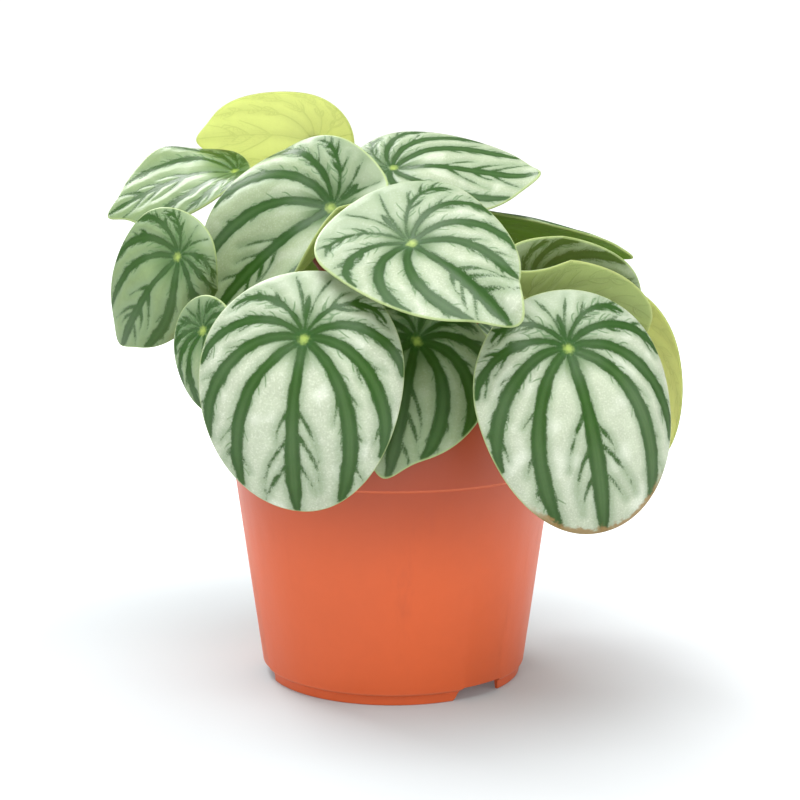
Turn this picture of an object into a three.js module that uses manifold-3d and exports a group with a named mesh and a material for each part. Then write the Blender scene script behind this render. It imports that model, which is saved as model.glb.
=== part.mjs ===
// A watermelon peperomia in its plastic nursery pot. Millimetres, +Z up. The origin is on the pot's
// axis, at the level of the surface that the pot stands on. The front of the plant faces -Y.
import * as THREE from 'three';
import { mergeVertices } from 'three/addons/utils/BufferGeometryUtils.js';
import Module from 'manifold-3d';

const wasm = await Module();
wasm.setup();

// ---- driving dimensions --------------------------------------------------------------------

const gap = 0.3; // clearance between pieces that touch in the real plant

const pot = {
  height: 104,
  baseRadius: 46.5, // of the tapered body, where it would meet the ground
  ridgeHeight: 76.6, // the collar's lower edge
  ridgeRadius: 57,
  collarStep: 0.8, // how far the collar stands out of the body
  rimRadius: 60,
  wall: 1.3,
  footRadius: 45.5,
  footHeight: 4,
  floorHeight: 5, // the floor is raised, so that water drains out under it
  drainHoleRadius: 4,
  drainRingRadius: 26,
  notchCount: 3,
  notchAzimuth: 41, // degrees to the right of the front
  notchWidth: 20,
  notchHeight: 4.6,
  sides: 48,
};

const soil = { top: 90, sides: 40 };

const blade = { thickness: 1, spokes: 18, rings: 4 };

const stalk = { radius: 1.6, sides: 6, steps: 9, sink: 4, holeClearance: 1.5, topGap: 0.5 };

// ---- colours ---------------------------------------------------------------------------------

const terracotta = { color: 0xd5683f, roughness: 0.45, metalness: 0 };
const peat = { color: 0x2b1d14, roughness: 1, metalness: 0 };
const silverGreen = { color: 0x8fb08a, roughness: 0.5, metalness: 0 };
const stalkRed = { color: 0x9a6a4c, roughness: 0.45, metalness: 0 };

// ---- the leaves --------------------------------------------------------------------------------
// A blade is bent out of a flat shield. Its stalk meets it at `at`, a little way in from the edge.
// There it faces azimuth `az` (0 is the front, 90 the right) and elevation `el`, and its tip points
// downhill, turned by `turn` degrees to the right as one faces the blade.
//   length, half     flat length, and half the flat width
//   base             share of the length that lies behind the stalk
//   wide             how far beyond the stalk the blade is widest, as a share of the length
//   tip              length of the small point
//   arch, back       degrees that the midrib bends away towards the tip, and towards the base
//   curl             extra bend close to the tip
//   left, right      degrees that each side rises (or droops, if negative) from midrib to edge
//   leftBend, rightBend   where that happens: 1 evenly, more near the edge, less near the midrib
//   fade             share of that rise which is gone by the tip
//   sway, twist      degrees that the midrib turns aside, and the blade turns about it, by the tip
//   fold             [degrees from the tip, height, half width] of one raised fold
//   wave             height of the edge's waves
//   root             where the stalk rises from the soil
//   climb, via       optional: how far the stalk heads upright, and the point it then bends towards

const plainLeaf = {
  base: 0.26, wide: 0.12, tip: 4, arch: 25, back: 20, curl: 0, left: -25, right: -25,
  leftBend: 1.3, rightBend: 1.3, fade: 0, sway: 0, twist: 0, fold: [0, 0, 20], wave: 0,
};

const leaves = {
  front_left: {
    at: [-28, -84, 132], az: -12, el: 25, turn: -2, length: 84, half: 35, base: 0.31, wide: 0.13,
    tip: 0, arch: 54, back: 36, left: -26, right: -55, sway: -4, root: [-10, -13],
    via: [-33, -60, 123],
  },
  front_right: {
    at: [56, -76, 128], az: 12, el: 27, turn: 11, length: 84, half: 35, wide: 0.17, tip: 0,
    arch: 45, back: 30, left: -34, right: -44, root: [12, -15],
  },
  front_centre: {
    at: [6, -64, 161], az: -6, el: 50, turn: 45, length: 79, half: 30, base: 0.35, wide: -0.08,
    tip: 10, arch: 5, back: 10, left: 10, right: -20, fold: [9, 5, 8], root: [2, -8],
  },
  upper_left: {
    at: [-22, -12, 168], az: -12, el: 27, turn: -50, length: 78, half: 37, base: 0.28, tip: 2,
    arch: 30, back: -10, left: -52, leftBend: 1.8, right: 110, rightBend: 0.8, fade: 0.72,
    root: [-5, -5],
  },
  top_back: {
    at: [-29, 44, 190], az: 170, el: 35, turn: 94, length: 60, half: 25, arch: 20, left: -10,
    right: -35, root: [-3, 6],
  },
  left_upper: {
    at: [-58, 26, 180], az: -25, el: 68, turn: -60, length: 57, half: 22, base: 0.12, wide: 0.28,
    tip: 6, left: -12, right: -12, twist: -25, fold: [-42, 3, 13], root: [-10, 3],
  },
  left_lower: {
    at: [-74, -29, 152], az: -35, el: 12, turn: -42, length: 58, half: 23, back: 45, left: -15,
    right: -105, rightBend: 1.2, root: [-17, -5], climb: 21, via: [-60, -12, 112],
  },
  left_small: {
    at: [-63, -58, 131], az: -40, el: 20, turn: 32, length: 46, half: 14, back: 10,
    root: [-14, -11],
  },
  low_centre: {
    at: [8, -60, 128], az: 4, el: 25, turn: -15, length: 63, half: 28, tip: 6,
    arch: 15, left: -15, right: -15, root: [2, -15],
  },
  upper_right: {
    at: [0, 5, 182], az: -4, el: 63, turn: 84, length: 71, half: 28,
    arch: 18, back: 25, curl: -45, left: -22, right: -14, root: [1, 0],
  },
  right_upper: {
    at: [32, 17, 163], az: 160, el: 50, turn: -70, length: 76, half: 13,
    arch: 8, left: -60, root: [7, 5],
  },
  right_folded: {
    at: [49, -40, 141], az: 30, el: 25, turn: 73, length: 74, half: 22, base: 0.36, back: -60,
    arch: 18, left: 135, leftBend: 0.3, right: 70, rightBend: 0.6, root: [11, -6],
  },
  right_low: {
    at: [87, 18, 120], az: 125, el: 14, turn: -4, length: 76, half: 30, arch: 35, back: 20,
    root: [16, -3],
  },
  left_hidden: {
    at: [-61, 26, 146], az: -125, el: 15, turn: 0, length: 50, half: 18, arch: 10, back: 15,
    root: [-12, 12],
  },
  back_right: {
    at: [50, 68, 110], az: 142, el: 30, turn: 4, length: 80, half: 33, arch: 45, back: 30,
    root: [9, 12],
  },
  back_centre: {
    at: [2, 82, 126], az: 180, el: 32, turn: -8, length: 70, half: 27, arch: 40, back: 30,
    root: [1, 15],
  },
  back_left: {
    at: [-50, 66, 114], az: 216, el: 28, turn: -4, length: 74, half: 32, arch: 45, back: 30,
    root: [-8, 14],
  },
  back_upper: {
    at: [-18, 40, 152], az: 178, el: 20, turn: 12, length: 60, half: 30, base: 0.34, arch: 12,
    root: [3, 9],
  },
  young: {
    at: [24, 1, 130], az: 60, el: 62, turn: 20, length: 28, half: 12, left: 10, right: 10, tip: 3,
    root: [11, 1],
  },
};

// ---- solids --------------------------------------------------------------------------------------

const degrees = THREE.MathUtils.degToRad;

function solid(geometry) {
  const bare = geometry.index ? geometry : geometry.clone();
  bare.deleteAttribute('normal');
  bare.deleteAttribute('uv');
  const merged = mergeVertices(bare, 1e-4);
  return new wasm.Manifold(new wasm.Mesh({
    numProp: 3,
    vertProperties: new Float32Array(merged.attributes.position.array),
    triVerts: new Uint32Array(merged.index.array),
  }));
}

function geometryOf(manifold) {
  const mesh = manifold.getMesh();
  const geometry = new THREE.BufferGeometry();
  geometry.setAttribute('position', new THREE.BufferAttribute(mesh.vertProperties, 3));
  geometry.setIndex(new THREE.BufferAttribute(mesh.triVerts, 1));
  return geometry;
}

function lathe(profile, sides) {
  const points = profile.map(([radius, height]) => new THREE.Vector2(radius, height));
  return new THREE.LatheGeometry(points, sides).rotateX(Math.PI / 2);
}

function uprightCylinder(radius, bottom, top, sides) {
  const cylinder = new THREE.CylinderGeometry(radius, radius, top - bottom, sides);
  return cylinder.rotateX(Math.PI / 2).translate(0, 0, (top + bottom) / 2);
}

// ---- the pot -------------------------------------------------------------------------------------

function bodyRadius(height) {
  return pot.baseRadius + (pot.ridgeRadius - pot.baseRadius) * height / pot.ridgeHeight;
}

function potProfile() {
  const { wall, height, ridgeHeight, ridgeRadius, collarStep, rimRadius, footHeight, footRadius } = pot;
  const innerRadius = (level) => bodyRadius(level) - wall;
  return [
    [0, pot.floorHeight],
    [footRadius - wall - 1, pot.floorHeight],
    [footRadius - wall, pot.floorHeight - 1],
    [footRadius - wall, 0],
    [footRadius, 0],
    [footRadius + 0.3, footHeight - 0.6],
    [bodyRadius(footHeight), footHeight],
    [ridgeRadius, ridgeHeight],
    [ridgeRadius + collarStep, ridgeHeight + 0.5],
    [rimRadius - 0.2, height - 0.8],
    [rimRadius - 0.6, height],
    [rimRadius - wall, height],
    [ridgeRadius + collarStep - wall, ridgeHeight + 2],
    [innerRadius(ridgeHeight - 2), ridgeHeight - 2],
    [innerRadius(pot.floorHeight + wall), pot.floorHeight + wall],
    [0, pot.floorHeight + wall],
  ];
}

function drainHoles() {
  const bottom = pot.floorHeight - 1;
  const top = pot.floorHeight + pot.wall + 1;
  const hole = () => uprightCylinder(pot.drainHoleRadius, bottom, top, 16);
  const holes = [hole()];
  for (let turn = 0; turn < 6; turn += 1) {
    holes.push(hole().translate(pot.drainRingRadius, 0, 0).rotateZ(turn * Math.PI / 3));
  }
  return holes;
}

function footNotches() {
  const { notchWidth, notchHeight, notchAzimuth, notchCount, baseRadius } = pot;
  const outline = new THREE.Shape([
    new THREE.Vector2(-notchWidth / 2 - 1.5, -1),
    new THREE.Vector2(notchWidth / 2, -1),
    new THREE.Vector2(notchWidth / 2 - 1, notchHeight),
    new THREE.Vector2(-notchWidth / 2 + 2, notchHeight),
  ]);
  const notches = [];
  for (let index = 0; index < notchCount; index += 1) {
    const cutter = new THREE.ExtrudeGeometry(outline, { depth: 12, bevelEnabled: false });
    cutter.rotateX(Math.PI / 2).translate(0, 6 - baseRadius, 0);
    notches.push(cutter.rotateZ(degrees(notchAzimuth) + index * 2 * Math.PI / notchCount));
  }
  return notches;
}

function potGeometry() {
  let body = solid(lathe(potProfile(), pot.sides));
  for (const cutter of [...drainHoles(), ...footNotches()]) {
    body = body.subtract(solid(cutter));
  }
  return geometryOf(body);
}

// ---- a leaf ----------------------------------------------------------------------------------------

function leafFrame(leaf) {
  const azimuth = degrees(leaf.az);
  const elevation = degrees(leaf.el);
  const facing = new THREE.Vector3(
    Math.sin(azimuth) * Math.cos(elevation),
    -Math.cos(azimuth) * Math.cos(elevation),
    Math.sin(elevation),
  );
  const downhill = new THREE.Vector3(0, 0, -1).addScaledVector(facing, facing.z).normalize();
  const tipward = downhill.applyAxisAngle(facing, degrees(leaf.turn));
  const rightward = new THREE.Vector3().crossVectors(facing, tipward);
  return { facing, tipward, rightward };
}

// The flat outline, at `angle` radians round from the tip: two half ellipses and a small point.
function flatOutline(leaf, angle) {
  const tipSide = leaf.length * (1 - leaf.base) - leaf.tip;
  const baseSide = leaf.length * leaf.base;
  const widest = leaf.length * leaf.wide;
  const reach = Math.cos(angle) > 0 ? tipSide - widest : baseSide + widest;
  const fromTip = Math.atan2(Math.sin(angle), Math.cos(angle));
  const point = leaf.tip * Math.exp(-((fromTip / 0.22) ** 2));
  return [leaf.half * Math.sin(angle), widest + reach * Math.cos(angle) + point];
}

// Where the flat point `across`, `along` (mm from the stalk) ends up once the blade is bent.
function bentPoint(leaf, across, along) {
  const steps = 24;
  const { facing, tipward, rightward } = leafFrame(leaf);
  const tipSide = leaf.length * (1 - leaf.base);
  const baseSide = leaf.length * leaf.base;
  const dip = (distance) => {
    const share = distance / tipSide;
    if (distance < 0) return degrees(leaf.back) * distance / baseSide;
    return degrees(leaf.arch) * share + degrees(leaf.curl) * share ** 5;
  };
  const swayAt = (distance) => degrees(leaf.sway) * distance / tipSide;

  const point = new THREE.Vector3(...leaf.at);
  for (let step = 0; step < steps; step += 1) {
    const distance = along * (step + 0.5) / steps;
    const heading = tipward.clone().applyAxisAngle(facing, swayAt(distance));
    point.addScaledVector(heading, Math.cos(dip(distance)) * along / steps);
    point.addScaledVector(facing, -Math.sin(dip(distance)) * along / steps);
  }

  const side = rightward.clone().applyAxisAngle(facing, swayAt(along));
  const heading = tipward.clone().applyAxisAngle(facing, swayAt(along));
  const up = facing.clone().multiplyScalar(Math.cos(dip(along)));
  up.addScaledVector(heading, Math.sin(dip(along)));
  const twist = degrees(leaf.twist) * along / tipSide;
  const turnedSide = side.clone().multiplyScalar(Math.cos(twist)).addScaledVector(up, Math.sin(twist));
  const turnedUp = up.clone().multiplyScalar(Math.cos(twist)).addScaledVector(side, -Math.sin(twist));

  const kept = 1 - leaf.fade * Math.max(0, along) / tipSide;
  const rise = degrees(across > 0 ? leaf.right : leaf.left) * kept;
  const bend = across > 0 ? leaf.rightBend : leaf.leftBend;
  const slope = (distance) => rise * (distance / leaf.half) ** bend;
  const width = Math.abs(across);
  for (let step = 0; step < steps; step += 1) {
    const angle = slope(width * (step + 0.5) / steps);
    point.addScaledVector(turnedSide, Math.cos(angle) * across / steps);
    point.addScaledVector(turnedUp, Math.sin(angle) * width / steps);
  }
  const normal = turnedUp.multiplyScalar(Math.cos(slope(width)));
  normal.addScaledVector(turnedSide, -Math.sign(across) * Math.sin(slope(width)));
  return point.addScaledVector(normal, reliefAt(leaf, across, along));
}

// Height above the smooth bent blade: the dimple over the stalk, one fold and the waves of the edge.
function reliefAt(leaf, across, along) {
  const radius = Math.hypot(across, along);
  const angle = THREE.MathUtils.radToDeg(Math.atan2(across, along));
  const outward = radius / (0.5 * leaf.length);
  const dimple = -3 * Math.exp(-((radius / (0.16 * leaf.length)) ** 2));
  const [foldAngle, foldHeight, foldWidth] = leaf.fold;
  const fold = foldHeight * outward ** 2 * Math.exp(-(((angle - foldAngle) / foldWidth) ** 2));
  const wave = leaf.wave * outward ** 3 * Math.sin(3 * degrees(angle));
  return dimple + fold + wave;
}

function bladeGeometry(leaf) {
  const { spokes, rings, thickness } = blade;
  const middle = [bentPoint(leaf, 0, 0)];
  for (let ring = 1; ring <= rings; ring += 1) {
    for (let spoke = 0; spoke < spokes; spoke += 1) {
      const [across, along] = flatOutline(leaf, spoke * 2 * Math.PI / spokes);
      middle.push(bentPoint(leaf, across * ring / rings, along * ring / rings));
    }
  }
  const at = (ring, spoke) => (ring === 0 ? 0 : 1 + (ring - 1) * spokes + spoke % spokes);
  const faces = [];
  for (let spoke = 0; spoke < spokes; spoke += 1) {
    faces.push([0, at(1, spoke), at(1, spoke + 1)]);
    for (let ring = 1; ring < rings; ring += 1) {
      faces.push([at(ring, spoke), at(ring + 1, spoke), at(ring + 1, spoke + 1)]);
      faces.push([at(ring, spoke), at(ring + 1, spoke + 1), at(ring, spoke + 1)]);
    }
  }
  const normals = vertexNormals(middle, faces);
  const upper = middle.map((point, index) => point.clone().addScaledVector(normals[index], thickness / 2));
  const lower = middle.map((point, index) => point.clone().addScaledVector(normals[index], -thickness / 2));
  const count = middle.length;
  const indices = [];
  for (const [a, b, c] of faces) {
    indices.push(a, b, c);
    indices.push(a + count, c + count, b + count);
  }
  for (let spoke = 0; spoke < spokes; spoke += 1) {
    const here = at(rings, spoke);
    const next = at(rings, spoke + 1);
    indices.push(here, here + count, next + count);
    indices.push(here, next + count, next);
  }
  const geometry = new THREE.BufferGeometry();
  geometry.setFromPoints([...upper, ...lower]);
  geometry.setIndex(indices);
  return geometry;
}

function vertexNormals(points, faces) {
  const normals = points.map(() => new THREE.Vector3());
  for (const face of faces) {
    const [a, b, c] = face.map((index) => points[index]);
    const normal = b.clone().sub(a).cross(c.clone().sub(a));
    face.forEach((index) => normals[index].add(normal));
  }
  return normals.map((normal) => normal.normalize());
}

// The stalk rises straight out of the soil, arches over and meets the blade from below and behind.
// Its end is cut square, so the more it slants against the blade, the further back it has to stop.
function stalkPath(leaf) {
  const { facing, tipward } = leafFrame(leaf);
  const contact = bentPoint(leaf, 0, 0);
  const behind = contact.clone().addScaledVector(facing, -22).addScaledVector(tipward, -6);
  const approach = leaf.via ? new THREE.Vector3(...leaf.via) : behind;
  const arrival = contact.clone().sub(approach).normalize();
  const slant = arrival.cross(facing).length();
  const clearance = blade.thickness / 2 + stalk.topGap + stalk.radius * slant;
  const end = contact.addScaledVector(facing, -clearance);
  const start = new THREE.Vector3(leaf.root[0], leaf.root[1], soil.top - stalk.sink);
  const rise = leaf.climb ?? Math.max(32, 0.75 * (end.z - start.z));
  const climb = start.clone().setZ(start.z + rise);
  return new THREE.CubicBezierCurve3(start, climb, approach, end);
}

function stalkGeometry(leaf) {
  const section = new THREE.Shape();
  for (let side = 0; side < stalk.sides; side += 1) {
    const angle = side * 2 * Math.PI / stalk.sides;
    const point = [stalk.radius * Math.cos(angle), stalk.radius * Math.sin(angle)];
    if (side === 0) section.moveTo(...point);
    else section.lineTo(...point);
  }
  section.closePath();
  return new THREE.ExtrudeGeometry(section, {
    steps: stalk.steps, extrudePath: stalkPath(leaf), bevelEnabled: false,
  });
}

// ---- the soil ------------------------------------------------------------------------------------

function soilGeometry() {
  const bottom = pot.floorHeight + pot.wall + gap;
  const clear = pot.wall + gap;
  let body = solid(lathe([
    [0, bottom],
    [bodyRadius(bottom) - clear, bottom],
    [bodyRadius(pot.ridgeHeight - 2) - clear, pot.ridgeHeight - 2],
    [pot.ridgeRadius + pot.collarStep - clear, pot.ridgeHeight + 2],
    [pot.ridgeRadius + pot.collarStep - clear, soil.top - 2],
    [30, soil.top],
    [0, soil.top],
  ], soil.sides));
  for (const leaf of Object.values(leaves)) {
    const bottomOfHole = soil.top - stalk.sink - gap;
    const hole = uprightCylinder(stalk.radius + stalk.holeClearance, bottomOfHole, soil.top + 1, 8);
    body = body.subtract(solid(hole.translate(leaf.root[0], leaf.root[1], 0)));
  }
  return geometryOf(body);
}

// ---- the plant -----------------------------------------------------------------------------------

function piece(name, geometry, look) {
  const mesh = new THREE.Mesh(geometry, new THREE.MeshStandardMaterial(look));
  mesh.name = name;
  return mesh;
}

const plant = new THREE.Group();
plant.add(piece('pot', potGeometry(), terracotta));
plant.add(piece('soil', soilGeometry(), peat));
for (const [name, spec] of Object.entries(leaves)) {
  const leaf = { ...plainLeaf, ...spec };
  plant.add(piece(`leaf_${name}`, bladeGeometry(leaf), silverGreen));
  plant.add(piece(`stalk_${name}`, stalkGeometry(leaf), stalkRed));
}

export default plant;
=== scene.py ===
# %% [markdown]
# # A potted peperomia
# A small house plant: round, fleshy, melon-striped leaves on red stalks, in a terracotta-coloured
# plastic nursery pot. The solid model gives every piece its place. This lesson gives each its fine
# shape and its finish. Lengths are millimetres, as one measures a plant, and become metres when a
# mesh is made.

from types import SimpleNamespace

import bpy
import numpy as np
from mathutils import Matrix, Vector


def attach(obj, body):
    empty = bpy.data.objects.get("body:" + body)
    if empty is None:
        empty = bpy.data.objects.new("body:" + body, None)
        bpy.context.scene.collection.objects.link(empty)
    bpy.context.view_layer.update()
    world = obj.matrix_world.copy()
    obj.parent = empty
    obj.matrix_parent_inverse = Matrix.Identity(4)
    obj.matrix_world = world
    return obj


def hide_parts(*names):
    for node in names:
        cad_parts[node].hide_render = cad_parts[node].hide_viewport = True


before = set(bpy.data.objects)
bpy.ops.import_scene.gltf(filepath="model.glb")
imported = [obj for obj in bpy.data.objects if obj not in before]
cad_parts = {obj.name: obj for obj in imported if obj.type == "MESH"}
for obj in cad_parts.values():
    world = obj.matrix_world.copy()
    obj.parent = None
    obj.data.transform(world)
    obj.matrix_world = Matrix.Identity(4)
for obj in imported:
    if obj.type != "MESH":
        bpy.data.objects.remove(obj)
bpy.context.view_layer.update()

# %% [markdown]
# ## Tools for making a mesh
# A surface is a grid: each point is worked out from two numbers, its row and its column. Rows of
# a round thing close on themselves. A few helpers list the faces between such rows, and one makes
# an object of points and faces.

# %% Millimetres to metres, and a seeded source of chance
MM = 0.001
chance = np.random.default_rng(7)


# %% Faces between closed rows of points
def ring_faces(rows, columns, first=0, flip=False):
    """Four-cornered faces between `rows` closed rings of `columns` points each.

    Corner order: (r, c), (r, c+1), (r+1, c+1), (r+1, c), with c+1 wrapping round to 0.
    """
    r, c = np.meshgrid(np.arange(rows - 1), np.arange(columns), indexing="ij")
    n = (c + 1) % columns
    corners = [r * columns + c, r * columns + n, (r + 1) * columns + n, (r + 1) * columns + c]
    faces = np.stack(corners, -1).reshape(-1, 4) + first
    return faces[:, ::-1] if flip else faces


def fan_faces(centre, ring, flip=False):
    """Three-cornered faces from one centre point to a closed ring: (centre, k, k+1)."""
    faces = np.stack([np.full(len(ring), centre), ring, np.roll(ring, -1)], -1)
    return faces[:, ::-1] if flip else faces


def tube_faces(rows, columns, first=0):
    """Two groups of faces for a closed tube: its wall, and the fans that close its two ends.

    Its points are `rows` rings, then the middle of the first ring, then that of the last.
    """
    ring, centre = first + np.arange(columns), first + rows * columns
    ends = [fan_faces(centre, ring, flip=True), fan_faces(centre + 1, ring + (rows - 1) * columns)]
    return [(ring_faces(rows, columns, first), 0), (np.concatenate(ends), 0)]


def all_round(count):
    """Evenly spaced angles, once round."""
    return np.linspace(0, 2 * np.pi, count, endpoint=False)


# %% Points and faces to a smooth object
def make_piece(name, points, face_groups, looks):
    """An object at the origin, from points in mm and groups of (faces, number of their look)."""
    mesh = bpy.data.meshes.new(name)
    faces = [face for group, _ in face_groups for face in group.tolist()]
    mesh.from_pydata((points * MM).tolist(), [], faces)
    numbers = np.concatenate([np.full(len(group), look) for group, look in face_groups])
    mesh.polygons.foreach_set("material_index", numbers.astype(np.int32))
    mesh.polygons.foreach_set("use_smooth", np.ones(len(faces), bool))
    for look in looks:
        mesh.materials.append(look)
    mesh.update()
    piece = bpy.data.objects.new(name, mesh)
    bpy.context.scene.collection.objects.link(piece)
    return piece


def stand_for(piece, node):
    """The piece moves with the plant and takes the solid's place."""
    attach(piece, "root")
    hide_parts(node)


def store(piece, name, values):
    """Keeps a number or a triple for every point of the mesh, for a material to read."""
    kind, key = ("FLOAT", "value") if values.ndim == 1 else ("FLOAT_VECTOR", "vector")
    attribute = piece.data.attributes.new(name, kind, "POINT")
    attribute.data.foreach_set(key, values.astype(np.float32).ravel())


# %% [markdown]
# ## Tools for a finish
# A finish is a small network of nodes. `net.add` places a node, sets its values and links its
# inputs in one line. The other helpers are short names for what is used most.

# %% A short way to write node networks
class Network:
    """A node tree with one call for each node. Sockets are linked, plain values are set."""

    def __init__(self, tree):
        self.tree = tree

    def add(self, kind, inputs=None, **settings):
        node = self.tree.nodes.new(kind)
        for key, value in settings.items():
            setattr(node, key, value)
        for key, value in (inputs or {}).items():
            self.feed(node.inputs[key], value)
        return node

    def feed(self, socket, value):
        if isinstance(value, bpy.types.NodeSocket):
            self.tree.links.new(value, socket)
        else:
            socket.default_value = value

    def math(self, operation, a, b=0.0, clamp=False):
        node = self.add("ShaderNodeMath", {0: a, 1: b}, operation=operation, use_clamp=clamp)
        return node.outputs[0]

    def plus(self, a, b):
        return self.math("ADD", a, b)

    def times(self, a, b):
        return self.math("MULTIPLY", a, b)

    def step(self, value, low, high, out_low=0.0, out_high=1.0):
        """A soft step: out_low below `low`, out_high above `high`, an S-curve between."""
        inputs = {"Value": value, "From Min": low, "From Max": high,
                  "To Min": out_low, "To Max": out_high}
        node = self.add("ShaderNodeMapRange", inputs, interpolation_type="SMOOTHSTEP")
        return node.outputs["Result"]

    def mix(self, share, first, second):
        node = self.add("ShaderNodeMix", data_type="RGBA")
        self.feed(node.inputs[0], share)
        self.feed(node.inputs[6], first)
        self.feed(node.inputs[7], second)
        return node.outputs[2]

    def noise(self, place, scale, detail=2.0, roughness=0.5):
        inputs = {"Vector": place, "Scale": scale, "Detail": detail, "Roughness": roughness}
        return self.add("ShaderNodeTexNoise", inputs).outputs["Fac"]

    def attribute(self, name, kind="Vector"):
        return self.add("ShaderNodeAttribute", attribute_name=name).outputs[kind]

    def split(self, vector):
        """The three numbers of a vector."""
        node = self.add("ShaderNodeSeparateXYZ", {"Vector": vector})
        return node.outputs["X"], node.outputs["Y"], node.outputs["Z"]

    def length(self, vector):
        return self.add("ShaderNodeVectorMath", {0: vector}, operation="LENGTH").outputs["Value"]

    def swing(self, place, scale, detail, roughness, size):
        """A noise around zero: (noise - 0.5) * size."""
        around = self.math("SUBTRACT", self.noise(place, scale, detail, roughness), 0.5)
        return self.times(around, size)

    def bump(self, height, strength, distance):
        inputs = {"Height": height, "Strength": strength, "Distance": distance}
        return self.add("ShaderNodeBump", inputs).outputs["Normal"]

    def skin(self, colour, roughness, normal, **more):
        """The plain shader of a surface: its colour, gloss and relief."""
        inputs = {"Base Color": colour, "Roughness": roughness, "Normal": normal, **more}
        return self.add("ShaderNodeBsdfPrincipled", inputs).outputs["BSDF"]

    def surface(self, shader):
        self.add("ShaderNodeOutputMaterial", {"Surface": shader})


def rgb(red, green, blue):
    """A colour from the three 0..255 numbers of a paint card, as the linear numbers of a shader."""
    share = np.array([red, green, blue]) / 255
    linear = np.where(share <= 0.04045, share / 12.92, ((share + 0.055) / 1.055) ** 2.4)
    return (*linear.tolist(), 1.0)


def new_look(name):
    """An empty material and its network."""
    look = bpy.data.materials.new(name)
    look.use_nodes = True
    look.node_tree.nodes.clear()
    print("finish:", name)
    return look, Network(look.node_tree)


def new_group(name, inputs, outputs):
    """A shader node group. `inputs` and `outputs` give each socket's name and kind."""
    tree = bpy.data.node_groups.new(name, "ShaderNodeTree")
    for way, sockets in (("INPUT", inputs), ("OUTPUT", outputs)):
        for label, kind in sockets.items():
            tree.interface.new_socket(label, in_out=way, socket_type="NodeSocket" + kind)
    net = Network(tree)
    return tree, net, net.add("NodeGroupInput"), net.add("NodeGroupOutput")


# %% [markdown]
# ## Two effects that several finishes share
# *Mottle*: no living or moulded surface has one flat colour. Two noises, one broad and one fine,
# lighten and darken it a little.
# *Vein line*: a line that follows a curve of the leaf. Every point of a blade knows how far it
# lies from the nearest vein, left or right, so the line is where that number is close to zero.

# %% The mottle group
mottle_group, net, given, made = new_group(
    "Mottle",
    {"Colour": "Color", "Place": "Vector", "Broad": "Float", "Fine": "Float", "Strength": "Float"},
    {"Colour": "Color", "Height": "Float"},
)
broad = net.noise(given.outputs["Place"], given.outputs["Broad"], 3.0, 0.6)
fine = net.noise(given.outputs["Place"], given.outputs["Fine"], 2.0, 0.6)
both = net.plus(net.times(broad, 0.6), net.times(fine, 0.4))
swing = net.times(net.math("SUBTRACT", both, 0.5), given.outputs["Strength"])
tint = net.add("ShaderNodeHueSaturation", {
    "Value": net.plus(swing, 1.0), "Color": given.outputs["Colour"],
})
net.feed(made.inputs["Colour"], tint.outputs["Color"])
net.feed(made.inputs["Height"], both)
print("group:", mottle_group.name)

# %% The vein line group
vein_group, net, given, made = new_group(
    "Vein line",
    {"Offset": "Float", "Distance": "Float", "Width": "Float", "Soft": "Float"},
    {"Line": "Float"},
)
off = net.math("ABSOLUTE", given.outputs["Offset"])
outer = net.plus(given.outputs["Width"], given.outputs["Soft"])
line = net.step(off, given.outputs["Width"], outer, 1.0, 0.0)
near = net.step(given.outputs["Distance"], 1.5, 2.2, 1.0, 0.0)
net.feed(made.inputs["Line"], net.times(line, near))
print("group:", vein_group.name)


def mottled(net, colour, place, broad, fine, strength):
    """The mottle group in a material, with its own values."""
    values = {"Colour": colour, "Place": place, "Broad": broad, "Fine": fine, "Strength": strength}
    node = net.add("ShaderNodeGroup", values, node_tree=mottle_group)
    return node.outputs["Colour"], node.outputs["Height"]


def vein_line(net, offset, distance, width, soft):
    """The vein line group in a material, with its own values in mm."""
    values = {"Offset": offset, "Distance": distance, "Width": width, "Soft": soft}
    return net.add("ShaderNodeGroup", values, node_tree=vein_group).outputs["Line"]


# %% [markdown]
# ## The pot's plastic
# A nursery pot is moulded from dyed polypropylene: one warm orange right through, with a satin
# skin. From 40 to 90 mm up the orange darkens: painted shade, where the leaves shade the collar.
# What makes it look real is slight: cloudy changes of tone, rubbed smudges, a fine grain in the
# gloss, and a paler line on the sharp edges, which is a painted highlight. That line needs no
# painting by hand, because a point's height says how near an edge is.

# %% The pot's finish
# the second orange is the pot under painted shade of the leaves over its collar
POT_ORANGE, POT_LEAF_SHADE = rgb(218, 94, 42), rgb(164, 63, 27)
# the paler orange is a painted highlight for the pot's sharp edges
POT_SMUDGE, POT_EDGE_HIGHLIGHT = rgb(176, 74, 46), rgb(226, 122, 84)
# heights of the sharp edges in mm
POT_EDGES = (76.9, 103.4, 4.0)


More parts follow.
